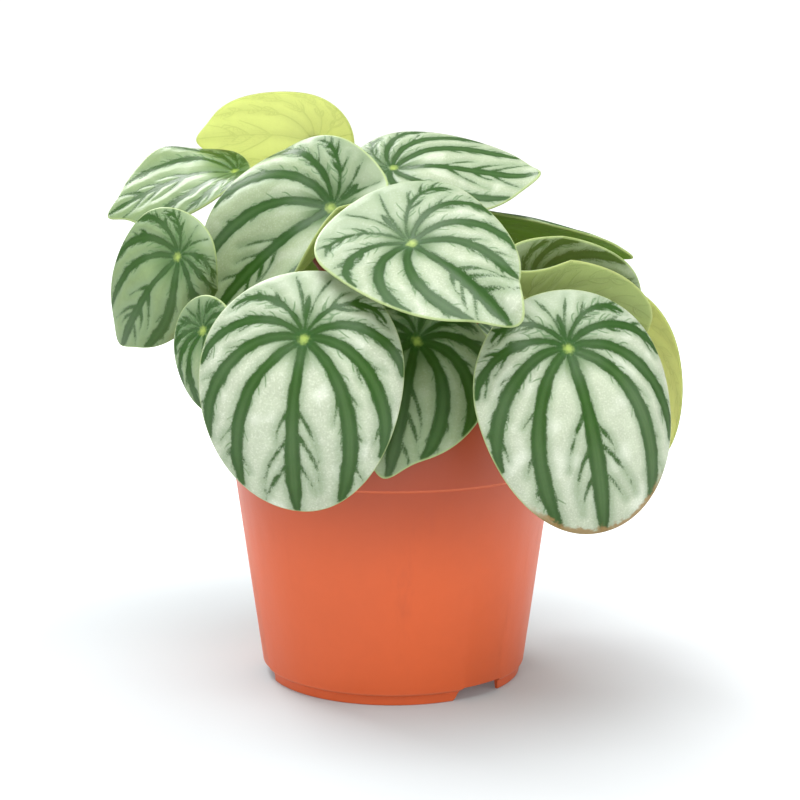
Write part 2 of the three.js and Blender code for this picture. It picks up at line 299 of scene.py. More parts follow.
def pot_look():
    look, net = new_look("terracotta plastic")
    place = net.add("ShaderNodeTexCoord").outputs["Object"]
    height = net.split(place)[2]
    # from 40 to 90 mm up the orange darkens: painted shade, where the leaves shade the collar
    damp = net.mix(net.step(height, 0.04, 0.09), POT_ORANGE, POT_LEAF_SHADE)
    colour, _ = mottled(net, damp, place, 14.0, 160.0, 0.16)
    stretched = net.add("ShaderNodeMapping", {"Vector": place, "Scale": (1.0, 1.0, 0.25)})
    smudge = net.noise(stretched.outputs["Vector"], 45.0, 5.0, 0.65)
    colour = net.mix(net.step(smudge, 0.56, 0.74, 0.0, 0.35), colour, POT_SMUDGE)
    # a paler line on each sharp edge: a painted highlight
    for edge in POT_EDGES:
        away = net.math("ABSOLUTE", net.math("SUBTRACT", height, edge * MM))
        colour = net.mix(net.step(away, 0.0002, 0.0006, 0.5, 0.0), colour, POT_EDGE_HIGHLIGHT)
    grain = net.noise(place, 900.0, 2.0)
    gloss = net.step(smudge, 0.35, 0.7, 0.36, 0.47)
    roughness = net.plus(gloss, net.times(grain, 0.05))
    relief = net.bump(net.plus(net.times(grain, 0.5), smudge), 0.12, 0.0004)
    net.surface(net.skin(colour, roughness, relief, IOR=1.49))
    return look


terracotta = pot_look()

# %% [markdown]
# ## The pot
# Turned as on a lathe: one profile, up the outside, over the rim and down the inside, is carried
# round the axis. A moulded edge is never sharp, so every corner of the profile first becomes a
# short curve. The foot has three low notches for water to run out. They could be cut with a
# boolean, but lifting the foot's lower edge keeps the grid clean. Only the drain holes are cut.

# %% The pot's measures
POT = SimpleNamespace(height=104, base=46.5, ridge_height=76.6, ridge=57, step=0.8, rim=60,
                      wall=1.3, foot=45.5, foot_height=4, floor=5)
NOTCH_AT = np.array([41.0, 161.0, 281.0])
NOTCH_HIGH = 4.6


def body_radius(level):
    """The outside wall is a straight cone: base + (ridge - base) * level / ridge height."""
    return POT.base + (POT.ridge - POT.base) * level / POT.ridge_height


def pot_profile():
    """(radius, height) from the underside's middle, up the outside, and down to the floor."""
    p = POT
    inner = p.ridge + p.step - p.wall
    return np.array([
        (0, p.floor),
        (p.foot - p.wall - 1, p.floor),
        (p.foot - p.wall, p.floor - 1),
        (p.foot - p.wall, 0),
        (p.foot, 0),
        (p.foot + 0.3, p.foot_height - 0.6),
        (body_radius(p.foot_height), p.foot_height),
        (p.ridge, p.ridge_height),
        (p.ridge + p.step, p.ridge_height + 0.5),
        (p.rim - 0.2, p.height - 0.8),
        (p.rim - 0.6, p.height),
        (p.rim - p.wall, p.height),
        (inner, p.ridge_height + 2),
        (body_radius(p.ridge_height - 2) - p.wall, p.ridge_height - 2),
        (body_radius(p.floor + p.wall) - p.wall, p.floor + p.wall),
        (0, p.floor + p.wall),
    ], float)


# %% Rounding the corners of a profile
def rounded(profile, radius, steps=4):
    """Each inner corner C becomes (1-t)^2 A + 2t(1-t) C + t^2 B.

    A and B lie `radius` back and ahead of C, or less where a side is short. One more point
    beyond A and B keeps the straight sides straight once the mesh is shaded smooth.
    """
    corner = profile[1:-1]
    back, ahead = profile[:-2] - corner, profile[2:] - corner
    long_back = np.linalg.norm(back, axis=1, keepdims=True)
    long_ahead = np.linalg.norm(ahead, axis=1, keepdims=True)
    reach = np.minimum(radius, 0.35 * np.minimum(long_back, long_ahead))
    a, b = corner + back / long_back * reach, corner + ahead / long_ahead * reach
    t = np.linspace(0, 1, steps)[None, :, None]
    curve = (1 - t) ** 2 * a[:, None] + 2 * t * (1 - t) * corner[:, None] + t ** 2 * b[:, None]
    before = (corner + back / long_back * reach * 1.35)[:, None]
    after = (corner + ahead / long_ahead * reach * 1.35)[:, None]
    inside = np.concatenate([before, curve, after], axis=1).reshape(-1, 2)
    return np.concatenate([profile[:1], inside, profile[-1:]])


# %% Carrying a profile round the axis
def turned(profile, angles, lift=None):
    """Points and face groups of a turned solid. The profile starts and ends on the axis.

    A point is (r sin a, -r cos a, z), with a measured from the front towards the right, and
    z raised to lift(r, a) where that is higher.
    """
    r, a = np.meshgrid(profile[1:-1, 0], angles, indexing="ij")
    z = np.repeat(profile[1:-1, 1:], len(angles), axis=1)
    if lift is not None:
        z = np.maximum(z, lift(r, a))
    rings = np.stack([r * np.sin(a), -r * np.cos(a), z], -1).reshape(-1, 3)
    ends = np.array([(0, 0, profile[0, 1]), (0, 0, profile[-1, 1])])
    return np.concatenate([rings, ends]), tube_faces(len(profile) - 2, len(angles))


def notch_roof(r, a):
    """Height of a notch's roof over the ground, 0 outside the notches.

    Across a notch, x = r sin(angle from its middle). Its left flank leans: (x + 11.5) * 1.6 - 1.
    Its right flank is steep: (10 - x) * 5.6 - 1. The roof is the lowest of the two and 4.6.
    """
    turn = (a[..., None] - np.radians(NOTCH_AT) + np.pi) % (2 * np.pi) - np.pi
    away = np.take_along_axis(turn, np.argmin(np.abs(turn), -1)[..., None], -1)[..., 0]
    x = r * np.sin(away)
    roof = np.minimum(np.minimum((x + 11.5) * 1.6, (10 - x) * 5.6) - 1, NOTCH_HIGH)
    return np.where((np.abs(away) < 0.5) & (r > 40), np.clip(roof, 0, None), 0)


# %% Building the pot
# spokes of the grid that follow a notch's two flanks, in degrees from its middle
flank = np.radians(np.array([-14.6, -13, -11.4, -10, 11.2, 11.6, 12, 12.4, 12.8]))
extra = (np.radians(NOTCH_AT)[:, None] + flank).ravel()
angles = np.unique(np.concatenate([all_round(240), extra % (2 * np.pi)]))
pot = make_piece("fine_pot", *turned(rounded(pot_profile(), 0.5), angles, notch_roof),
                 [terracotta])


# %% Drilling the drain holes
def drill(piece, places, radius, low, high, sides=32):
    """Cuts round holes straight down through the piece with a boolean, then keeps the result."""
    turn = all_round(sides)
    ring = np.stack([radius * np.cos(turn), radius * np.sin(turn)], -1)
    rods = []
    for place in places:
        lower = np.column_stack([ring + place, np.full(sides, low)])
        upper = np.column_stack([ring + place, np.full(sides, high)])
        rods.append(np.concatenate([lower, upper, [(*place, low), (*place, high)]]))
    tubes = [tube_faces(2, sides, first=k * len(rods[0])) for k in range(len(rods))]
    groups = [wall for wall, _ in tubes] + [ends for _, ends in tubes]
    cutter = make_piece("cutter", np.concatenate(rods), groups, [])
    cut = piece.modifiers.new("holes", "BOOLEAN")
    cut.operation, cut.solver, cut.object = "DIFFERENCE", "EXACT", cutter
    shape = piece.evaluated_get(bpy.context.evaluated_depsgraph_get())
    kept = bpy.data.meshes.new_from_object(shape)
    piece.modifiers.clear()
    piece.data = kept
    bpy.data.objects.remove(cutter)


DRAIN_RING, DRAIN_RADIUS = 26, 4
sixth = np.arange(6) * np.pi / 3
ring = np.stack([DRAIN_RING * np.cos(sixth), DRAIN_RING * np.sin(sixth)], -1)
spots = np.concatenate([[(0.0, 0.0)], ring])
drill(pot, spots, DRAIN_RADIUS, POT.floor - 1, POT.floor + POT.wall + 1)
pot.data.set_sharp_from_angle(angle=np.radians(50))
stand_for(pot, "pot")
print("pot:", len(pot.data.vertices), "points,", len(spots), "drain holes")

# %% [markdown]
# ## The soil
# Peat, seen only through gaps between the leaves: almost black, crumbly, with paler fibres. Its
# top is a polar grid pushed up and down by noise, with a few hundred loose crumbs of few faces.

# %% Smooth noise for shapes
def cloud(x, y, size, seed):
    """Value noise in 0..1: random numbers at the corners of a lattice `size` mm wide,
    blended across each square with the weights 3t^2 - 2t^3."""
    table = np.random.default_rng(seed).random((64, 64))
    gx, gy = x / size + 32, y / size + 32
    i, j = np.floor(gx).astype(int), np.floor(gy).astype(int)
    s, t = gx - i, gy - j
    s, t = s * s * (3 - 2 * s), t * t * (3 - 2 * t)
    left, right, near, far = i % 64, (i + 1) % 64, j % 64, (j + 1) % 64
    low = table[left, near] * (1 - s) + table[right, near] * s
    high = table[left, far] * (1 - s) + table[right, far] * s
    return low * (1 - t) + high * t


# %% The peat's finish
def peat_look():
    look, net = new_look("damp peat")
    place = net.add("ShaderNodeTexCoord").outputs["Object"]
    colour, height = mottled(net, rgb(52, 34, 24), place, 120.0, 700.0, 1.6)
    fibre = net.step(net.noise(place, 420.0, 3.0, 0.7), 0.62, 0.7, 0.0, 0.6)
    colour = net.mix(fibre, colour, rgb(104, 74, 50))
    roughness = net.step(height, 0.3, 0.7, 0.75, 0.98)
    net.surface(net.skin(colour, roughness, net.bump(height, 0.8, 0.001)))
    return look


peat = peat_look()

# %% Building the soil with its crumbs
SOIL_TOP, SOIL_GAP = 90.0, 0.3
SOIL_WALL = POT.ridge + POT.step - POT.wall - SOIL_GAP
CRUMBS, CRUMB_REACH = 500, 54


def soil_ground(x, y):
    """Height of the soil: lumps of two sizes, from 2.2 mm below its top level to 1.2 above."""
    return SOIL_TOP + 2.2 * cloud(x, y, 9, 3) + 1.2 * cloud(x, y, 3, 4) - 2.2


def soil_shape():
    """The lathe profile of the solid, its top ring by ring pushed to the ground's height."""
    bottom = POT.floor + POT.wall + SOIL_GAP
    clear = POT.wall + SOIL_GAP
    side = [(0, bottom), (body_radius(bottom) - clear, bottom),
            (body_radius(POT.ridge_height - 2) - clear, POT.ridge_height - 2),
            (SOIL_WALL, POT.ridge_height + 2)]
    top = [(r, SOIL_TOP) for r in np.linspace(SOIL_WALL, 0, 48)]
    points, groups = turned(np.array(side + top, float), all_round(144))
    surface = points[:, 2] == SOIL_TOP
    points[surface, 2] = soil_ground(points[surface, 0], points[surface, 1])
    return points, groups


def crumbs(count, first):
    """Loose crumbs: octahedra of a random size, turn and stretch, lying on the ground."""
    core = np.array([(1, 0, 0), (-1, 0, 0), (0, 1, 0), (0, -1, 0), (0, 0, 1), (0, 0, -1)], float)
    sides = np.array([(0, 2, 4), (2, 1, 4), (1, 3, 4), (3, 0, 4),
                      (2, 0, 5), (1, 2, 5), (3, 1, 5), (0, 3, 5)])
    size = chance.uniform(0.5, 1.5, (count, 1, 1)) * chance.uniform(0.6, 1.3, (count, 6, 1))
    turn = np.linalg.qr(chance.normal(size=(count, 3, 3)))[0]
    turn *= np.sign(np.linalg.det(turn))[:, None, None]
    reach = CRUMB_REACH * np.sqrt(chance.random(count))
    angle = chance.uniform(0, 2 * np.pi, count)
    x, y = reach * np.cos(angle), reach * np.sin(angle)
    centre = np.stack([x, y, soil_ground(x, y) + 0.2], -1)[:, None]
    points = (core * size) @ turn + centre
    faces = sides + first + 6 * np.arange(count)[:, None, None]
    return points.reshape(-1, 3), faces.reshape(-1, 3)


ground, soil_faces = soil_shape()
loose, loose_faces = crumbs(CRUMBS, len(ground))
soil = make_piece("fine_soil", np.concatenate([ground, loose]), soil_faces + [(loose_faces, 0)],
                  [peat])
stand_for(soil, "soil")
print("soil:", len(soil.data.vertices), "points")

# %% [markdown]
# ## Where the leaves are
# The same measures as in the solid model, so that both bend the same blade. A stalk meets its
# blade at `at`. There the blade faces azimuth `az` and elevation `el`, and its tip points downhill,
# turned by `turn` degrees. It is `length` long and twice `half` wide. The stalk stands at `root` in
# the soil, and climbs by way of `via` where another leaf is in the way. `arch`, `back` and `curl`
# bend the midrib, `left` and `right` let the sides rise or droop, `sway` and `twist` turn it aside,
# and `fold` gives the direction, height and width of one raised fold.

# %% The table of leaves
PLAIN_LEAF = dict(base=0.26, wide=0.12, tip=4, arch=25, back=20, curl=0, left=-25, right=-25,
                  left_bend=1.3, right_bend=1.3, fade=0, sway=0, twist=0, fold=(0, 0, 20),
                  climb=None, via=None)


def measured(at, az, el, turn, length, half, root, **more):
    """A leaf's own measures, and those of a plain leaf where it has none of its own."""
    own = dict(at=at, az=az, el=el, turn=turn, length=length, half=half, root=root, **more)
    return SimpleNamespace(**{**PLAIN_LEAF, **own})


# at, az, el, turn, length, half and root, and then what differs from a plain leaf
LEAVES = {
    "front_left": measured((-28, -84, 132), -12, 25, -2, 84, 35, (-10, -13), base=0.31, wide=0.13,
        tip=0, arch=54, back=36, left=-26, right=-55, sway=-4, via=(-33, -60, 123)),
    "front_right": measured((56, -76, 128), 12, 27, 11, 84, 35, (12, -15), wide=0.17, tip=0,
        arch=45, back=30, left=-34, right=-44),
    "front_centre": measured((6, -64, 161), -6, 50, 45, 79, 30, (2, -8), base=0.35, wide=-0.08,
        tip=10, arch=5, back=10, left=10, right=-20, fold=(9, 5, 8)),
    "upper_left": measured((-22, -12, 168), -12, 27, -50, 78, 37, (-5, -5), base=0.28, tip=2,
        arch=30, back=-10, left=-52, left_bend=1.8, right=110, right_bend=0.8, fade=0.72),
    "top_back": measured((-29, 44, 190), 170, 35, 94, 60, 25, (-3, 6), arch=20, left=-10,
        right=-35),
    "left_upper": measured((-58, 26, 180), -25, 68, -60, 57, 22, (-10, 3), base=0.12, wide=0.28,
        tip=6, left=-12, right=-12, twist=-25, fold=(-42, 3, 13)),
    "left_lower": measured((-74, -29, 152), -35, 12, -42, 58, 23, (-17, -5), back=45, left=-15,
        right=-105, right_bend=1.2, climb=21, via=(-60, -12, 112)),
    "left_small": measured((-63, -58, 131), -40, 20, 32, 46, 14, (-14, -11), back=10),
    "low_centre": measured((8, -60, 128), 4, 25, -15, 63, 28, (2, -15), tip=6, arch=15, left=-15,
        right=-15),
    "upper_right": measured((0, 5, 182), -4, 63, 84, 71, 28, (1, 0), arch=18, back=25, curl=-45,
        left=-22, right=-14),
    "right_upper": measured((32, 17, 163), 160, 50, -70, 76, 13, (7, 5), arch=8, left=-60),
    "right_folded": measured((49, -40, 141), 30, 25, 73, 74, 22, (11, -6), base=0.36, back=-60,
        arch=18, left=135, left_bend=0.3, right=70, right_bend=0.6),
    "right_low": measured((87, 18, 120), 125, 14, -4, 76, 30, (16, -3), arch=35, back=20),
    "left_hidden": measured((-61, 26, 146), -125, 15, 0, 50, 18, (-12, 12), arch=10, back=15),
    "back_right": measured((50, 68, 110), 142, 30, 4, 80, 33, (9, 12), arch=45, back=30),
    "back_centre": measured((2, 82, 126), 180, 32, -8, 70, 27, (1, 15), arch=40, back=30),
    "back_left": measured((-50, 66, 114), 216, 28, -4, 74, 32, (-8, 14), arch=45, back=30),
    "back_upper": measured((-18, 40, 152), 178, 20, 12, 60, 30, (3, 9), base=0.34, arch=12),
    "young": measured((24, 1, 130), 60, 62, 20, 28, 12, (11, 1), left=10, right=10, tip=3),
}
print("leaves:", len(LEAVES))

# %% [markdown]
# ## The flat shield
# Laid flat, a blade is two half ellipses that share their widest line. `base` is the share of its
# length behind the stalk, `wide` says how far ahead of the stalk it is widest, and `tip` is its
# small point in mm. Angles go round from the tip. This is also the leaf's own map, on which its
# stripes are drawn in millimetres across and along.

# %% The outline of the flat blade
def outline(leaf, angle):
    """across = half sin(a); along = widest + reach cos(a) + tip exp(-(a / 0.22)^2)."""
    length, tip = leaf.length, leaf.tip
    widest = length * leaf.wide
    reach = np.where(np.cos(angle) > 0, length * (1 - leaf.base) - tip - widest,
                     length * leaf.base + widest)
    from_tip = np.arctan2(np.sin(angle), np.cos(angle))
    along = widest + reach * np.cos(angle) + tip * np.exp(-((from_tip / 0.22) ** 2))
    return leaf.half * np.sin(angle), along


# %% [markdown]
# ## Bending the blade
# Walking along the midrib in small steps, each a little steeper than the last, gives an arching
# spine. Walking sideways from it in the same way gives the curved cross-section. Adding up steps
# keeps the blade's true length, because a leaf bends but hardly stretches.

# %% Directions at the stalk
def leaf_frame(leaf):
    """Three unit vectors: out of the blade, towards its tip, and to its right."""
    az, el, turn = np.radians([leaf.az, leaf.el, leaf.turn])
    facing = np.array([np.sin(az) * np.cos(el), -np.cos(az) * np.cos(el), np.sin(el)])
    downhill = np.array([0, 0, -1.0]) + facing * facing[2]
    downhill /= np.linalg.norm(downhill)
    tipward = downhill * np.cos(turn) + np.cross(facing, downhill) * np.sin(turn)
    return facing, tipward, np.cross(facing, tipward)


# %% Relief on the bent blade
def relief(leaf, across, along):
    """Dimple over the stalk -3 exp(-(r / 0.16 L)^2), and one fold that rises outwards."""
    radius = np.hypot(across, along)
    angle = np.degrees(np.arctan2(across, along))
    outward = radius / (0.5 * leaf.length)
    at, high, wide = leaf.fold
    dimple = -3 * np.exp(-((radius / (0.16 * leaf.length)) ** 2))
    return dimple + high * outward ** 2 * np.exp(-(((angle - at) / wide) ** 2))


# %% From the flat map to space
def bent(leaf, across, along, steps=24):
    """Where the flat points end up, in mm.

    Midrib: dip(u) = arch u/a + curl (u/a)^5 towards the tip, back u/b towards the base.
    Cross-section: slope(v) = rise (|v| / half)^bend, with rise fading towards the tip.
    """
    facing, tipward, rightward = leaf_frame(leaf)
    across, along = across[..., None], along[..., None]
    a, b = leaf.length * (1 - leaf.base), leaf.length * leaf.base
    rad = np.radians

    def dip(u):
        share = np.clip(u / a, 0, None)
        return np.where(u > 0, rad(leaf.arch) * share + rad(leaf.curl) * share ** 5,
                        rad(leaf.back) * u / b)

    def heading(u):
        sway = rad(leaf.sway) * u / a
        return (np.cos(sway) * tipward + np.sin(sway) * rightward,
                np.cos(sway) * rightward - np.sin(sway) * tipward)

    point = np.zeros(along.shape[:-1] + (3,)) + leaf.at
    for step in range(steps):
        u = along * (step + 0.5) / steps
        forward = np.cos(dip(u)) * heading(u)[0] - np.sin(dip(u)) * facing
        point += forward * (along / steps)

    ahead, side = heading(along)
    up = np.cos(dip(along)) * facing + np.sin(dip(along)) * ahead
    twist = rad(leaf.twist) * along / a
    side, up = (np.cos(twist) * side + np.sin(twist) * up,
                np.cos(twist) * up - np.sin(twist) * side)

    kept = 1 - leaf.fade * np.clip(along, 0, None) / a
    rise = rad(np.where(across > 0, leaf.right, leaf.left)) * kept
    bend = np.where(across > 0, leaf.right_bend, leaf.left_bend)
    width = np.abs(across)
    for step in range(steps):
        slope = rise * (width * (step + 0.5) / steps / leaf.half) ** bend
        point += side * (np.cos(slope) * across / steps)
        point += up * (np.sin(slope) * width / steps)
    slope = rise * (width / leaf.half) ** bend
    normal = up * np.cos(slope) - side * (np.sign(across) * np.sin(slope))
    return point + normal * relief(leaf, across, along)


print("tip of front_left:", bent(LEAVES["front_left"], np.array(0.0), np.array(50.0)).round(1))

# %% [markdown]
# ## The melon stripes
# Nine dark bands leave the stalk like the stripes of a watermelon: the midrib straight to the tip,
# the side bands out towards the margin and then round towards the tip. Three thin ones run to the
# base, and finer veins branch off them all. Each is a Bezier curve on the flat map. How a point of
# the blade lies to the nearest curve is worked out here and stored in the mesh, so that the finish
# can draw crisp edges at any distance. A painted picture would have to be huge to be as sharp.

# %% The courses of the bands
# leaves the stalk at, ends at (degrees from the tip), belly (share of the way to the margin),
# reach (the same, at its end) and width in mm
SIDE_BANDS = ((60, 16, 0.8, 0.98, 5.0), (106, 40, 0.97, 0.98, 4.6),
              (138, 76, 0.98, 0.965, 3.4), (163, 112, 0.95, 0.9, 2.0))
MIDRIB = (0, 0, 0.66, 0.98, 5.0)
BASE_BANDS = ((180, 180, 0.4, 0.55, 1.9), (176, 164, 0.6, 0.88, 0.9), (184, 197, 0.6, 0.88, 0.9))
BAND_POINTS, VEIN_POINTS = 70, 22


def reach_to_margin(leaf, angle):
    """Distance from the stalk to the margin in each direction, read off the outline."""
    x, y = outline(leaf, np.linspace(-np.pi, np.pi, 721))
    seen = np.unwrap(np.arctan2(x, y))
    return np.interp((angle - seen[0]) % (2 * np.pi) + seen[0], seen, np.hypot(x, y))


def toward(angle, distance):
    """A point of the flat map, `distance` mm from the stalk in the direction `angle`."""
    return np.stack([distance * np.sin(angle), distance * np.cos(angle)], -1)


def curve(knots, steps):
    """Cubic Bezier: (1-t)^3 P0 + 3t(1-t)^2 P1 + 3t^2(1-t) P2 + t^3 P3."""
    t = np.linspace(0, 1, steps)[:, None]
    p0, p1, p2, p3 = knots
    return ((1 - t) ** 3 * p0 + 3 * t * (1 - t) ** 2 * p1
            + 3 * t ** 2 * (1 - t) * p2 + t ** 3 * p3)


def band_course(leaf, leave, end, belly, reach, width):
    """A band's points and half widths: narrow at the stalk, full in its middle, fading out."""
    leave, end = np.radians([leave, end])
    lean = 0.4 * leave + 0.6 * end
    knots = [toward(0.0, 0.0),
             toward(leave, 0.5 * reach_to_margin(leaf, leave)),
             toward(lean, belly * reach_to_margin(leaf, lean)),
             toward(end, reach * reach_to_margin(leaf, end))]
    t = np.linspace(0, 1, BAND_POINTS)
    swell = 0.6 + 0.4 * np.clip(t / 0.55, 0, 1) - 0.5 * np.clip((t - 0.8) / 0.2, 0, 1) ** 1.5
    return curve(knots, BAND_POINTS), 0.5 * width * swell


def branch_courses(course, spots, length, width, spread=1.0):
    """Finer veins: each leaves its band at an angle and bends forward, thinning to nothing.

    With d the band's direction and n its normal, a vein starts along d / spread + n * spread.
    """
    veins = []
    ahead = np.gradient(course, axis=0)
    ahead /= np.linalg.norm(ahead, axis=1, keepdims=True)
    for share in spots:
        for side in (-1, 1):
            at = int((share + chance.uniform(-0.04, 0.04)) * (len(course) - 1))
            along = ahead[at] / spread
            out = np.array([ahead[at][1], -ahead[at][0]]) * side * spread
            span = length * chance.uniform(0.6, 1.2)
            start = course[at]
            knots = [start, start + span * (0.3 * along + 0.3 * out),
                     start + span * (0.62 * along + 0.45 * out),
                     start + span * (0.95 * along + 0.48 * out * chance.uniform(0.7, 1.3))]
            thinning = 1 - np.linspace(0, 1, VEIN_POINTS)
            veins.append((curve(knots, VEIN_POINTS), 0.5 * width * thinning))
    return veins


# %% The stripes of one leaf
def stripes(leaf, boldness):
    """Bands (wide, dark) and veins (fine) of a leaf, each as (points, half widths)."""
    size = leaf.length / 80
    rows = [MIDRIB, *BASE_BANDS]
    rows += [(side * a, side * b, *rest) for a, b, *rest in SIDE_BANDS for side in (-1, 1)]
    bands, veins = [], []
    for leave, end, belly, reach, width in rows:
        leave, end = leave + chance.uniform(-3, 3), end + chance.uniform(-3, 3)
        width = width * boldness * size ** 0.5 * chance.uniform(0.88, 1.12)
        bands.append(band_course(leaf, leave, end, belly, reach, width))
    spurs = branch_courses(bands[0][0], (0.3, 0.46, 0.62), 18 * size, 1.9)
    for course, _ in bands[-2 * len(SIDE_BANDS):]:
        spurs += branch_courses(course, (0.42, 0.6, 0.78), 7 * size, 1.6)
        veins += branch_courses(course, np.arange(0.25, 0.95, 0.1), 4.8 * size, 0.8, spread=1.35)
    return bands + spurs, veins


def beside(place, courses):
    """For every flat point: signed offset from the nearest course, distance from it, and
    distance outside its width. Left of a course is negative."""
    nodes = np.concatenate([points for points, _ in courses])
    halves = np.concatenate([half for _, half in courses])
    ahead = np.concatenate([np.gradient(points, axis=0) for points, _ in courses])
    ahead /= np.linalg.norm(ahead, axis=1, keepdims=True) + 1e-9
    found = []
    for part in np.array_split(place, 16):
        gap = part[:, None] - nodes
        away = np.hypot(gap[..., 0], gap[..., 1])
        nearest = np.argmin(away, axis=1)
        pick = np.arange(len(part)), nearest
        cross = gap[pick][:, 0] * ahead[nearest, 1] - gap[pick][:, 1] * ahead[nearest, 0]
        found.append(np.stack([cross, away[pick], np.min(away - halves, axis=1)], -1))
    return np.concatenate(found)


# %% [markdown]
# ## A blade as a closed shell
# The flat map is a polar grid with its middle over the stalk. Bent into space it becomes the
# blade's middle sheet. The skins lie half a thickness to either side and meet at the margin in a
# rounded rim. Between the dark bands, which are sunk, the silver swells like a quilt. Leaves differ
# in how silvery and how boldly banded they are, so each has its own tones. Leaves that are mostly
# hidden take a coarser grid.

# %% The grid of the flat map, and what sets the leaves apart
FULL_GRID, SMALL_GRID = (232, 72), (120, 38)
HALF_HIDDEN = ("back_right", "back_centre", "back_left", "back_upper", "young", "left_hidden",
               "right_low", "right_upper", "top_back")
THICK, RIM_ROUND = 0.95, 0.5
QUILT_HIGH, QUILT_BELOW, QUILT_REACH = 0.65, 0.6, 2.2
# how silvery the upper side, how pale the underside (also painted glow), how dry the tip, how bold
# the bands
PLAIN_TONES = (0.5, 0.1, 0.0, 1.0)
TONES = {
    "front_left": (1.0, 0.3, 0.0, 1.0), "front_right": (1.0, 0.3, 1.0, 1.0),
    "front_centre": (0.7, 0.3, 0.0, 0.8), "upper_left": (0.35, 0.3, 0.0, 0.9),
    "upper_right": (0.6, 0.3, 0.0, 0.85), "left_upper": (0.0, 0.3, 0.0, 0.55),
    "left_lower": (0.0, 0.3, 0.0, 0.75), "left_small": (0.2, 0.3, 0.0, 0.7),
    "low_centre": (0.3, 0.3, 0.0, 1.0), "top_back": (0.5, 1.0, 0.0, 1.0),
    "right_low": (0.5, 0.9, 0.0, 1.0), "right_upper": (0.5, 0.0, 0.0, 1.0),
    "right_folded": (0.5, 0.45, 0.0, 1.0),
}


def ring_shares(rings):
    """Shares of the way to the margin: even steps, then four short ones to round the rim."""
    inner = np.linspace(0, 1, rings - 3)[1:-1] ** 0.92 * 0.992
    rim = 1 - 0.008 * np.array([1.0, 0.55, 0.25, 0.07, 0.0])
    return np.concatenate([inner, rim])


def sheet_normals(points, faces):
    """Unit normals of a grid: the face normals (from the two diagonals) summed at each point."""
    a, b, c, d = (points[faces[:, k]] for k in range(4))
    cross = np.cross(c - a, d - b)
    total = np.zeros_like(points)
    for k in range(4):
        np.add.at(total, faces[:, k], cross)
    return total / np.linalg.norm(total, axis=1, keepdims=True)


# %% Building one blade
def blade(name, leaf, looks):
    """One leaf: upper and lower skin, joined at the rim, with its stripes stored in the mesh."""
    spokes, rings = SMALL_GRID if name in HALF_HIDDEN else FULL_GRID
    shares = ring_shares(rings)
    spread, angle = np.meshgrid(shares, all_round(spokes), indexing="ij")
    x, y = outline(leaf, angle)
    across = np.append((spread * x).ravel(), 0.0)
    along = np.append((spread * y).ravel(), 0.0)
    place = np.stack([across, along], -1)
    count = len(shares) * spokes
    quads = ring_faces(len(shares), spokes, flip=True)
    hub = fan_faces(count, np.arange(spokes))

    *tones, boldness = TONES.get(name, PLAIN_TONES)
    bands, veins = stripes(leaf, boldness)
    to_band, to_vein = beside(place, bands), beside(place, veins)
    margin = np.append(((1 - spread) * np.hypot(x, y)).ravel(), leaf.half)

    middle = bent(leaf, across, along)
    normals = sheet_normals(middle, np.concatenate([quads, hub[:, [0, 1, 2, 2]]]))
    swell = 1 - np.exp(-np.clip(to_band[:, 2], 0, None) / QUILT_REACH)
    quilt = QUILT_HIGH * swell * np.clip(margin / 4, 0, 1)
    half = 0.5 * THICK * np.sqrt(np.clip(margin / RIM_ROUND, 0, 1))
    upper = middle + normals * (half + quilt)[:, None]
    lower = middle - normals * (half - QUILT_BELOW * quilt)[:, None]
    # which point of the lower skin lies under each upper one: at the rim it is the same point
    inner = np.r_[np.arange(count - spokes), count]
    below = np.arange(count + 1)
    below[inner] = count + 1 + np.arange(len(inner))

    points = np.concatenate([upper, lower[inner]])
    groups = [(quads, 0), (hub, 0), (below[quads][:, ::-1], 1), (below[hub][:, ::-1], 1)]
    piece = make_piece(f"fine_leaf_{name}", points, groups, looks)
    seed = np.full(count + 1, chance.uniform(0, 400))
    known = {
        "flat_map": np.stack([across, along, seed], -1),
        "band": to_band, "vein": to_vein, "margin": margin,
        "tone": np.tile(tones, (count + 1, 1)),
    }
    for label, values in known.items():
        store(piece, label, np.concatenate([values, values[inner]]))
    return piece


# %% [markdown]
# ## The leaf's upper side
# The silver comes from air under the skin, so it is bright and fine-grained, and broad patches of
# painted sheen lighten it more. It thins out beside the bands, near the stalk and at the base,
# where the green shows through. The bands are dark green with a frayed edge, the margin is a thin
# pale line, the place of the stalk shows as a small yellow spot, and an old leaf's tip dries to
# brown. A leaf is thin, so some light passes through: a Translucent shader, mixed in, lets it glow
# when lit from behind, but not over the stalk.

# %% The silver between the bands
def silver_skin(net, place, outside, radius, silvery):
    """The colour of the silver, with broad patches of painted sheen, and the height of its grain.
    """
    full = net.mix(silvery, rgb(126, 148, 102), rgb(184, 194, 170))
    colour, grain = mottled(net, full, place, 0.12, 1.4, 0.7)
    sparkle = net.step(net.noise(place, 1.7, 2.0, 0.7), 0.48, 0.7, 0.0, 0.5)
    # broad patches of painted sheen, added to the fine grain of the silver
    painted_sheen = net.step(net.noise(place, 0.1, 1.0), 0.52, 0.7, 0.0, 0.5)
    grain_and_sheen = net.math("MULTIPLY", net.plus(sparkle, painted_sheen), silvery, clamp=True)
    colour = net.mix(grain_and_sheen, colour, rgb(228, 233, 218))
    colour = net.mix(net.step(outside, 0.0, 3.0, 0.55, 0.0), colour, rgb(120, 146, 110))
    base = net.step(net.split(place)[1], -24.0, 2.0, 0.55, 0.0)
    colour = net.mix(base, colour, rgb(142, 162, 130))
    near_stalk = net.step(radius, 3.0, 14.0, 0.9, 0.0)
    return net.mix(near_stalk, colour, rgb(76, 110, 62)), grain


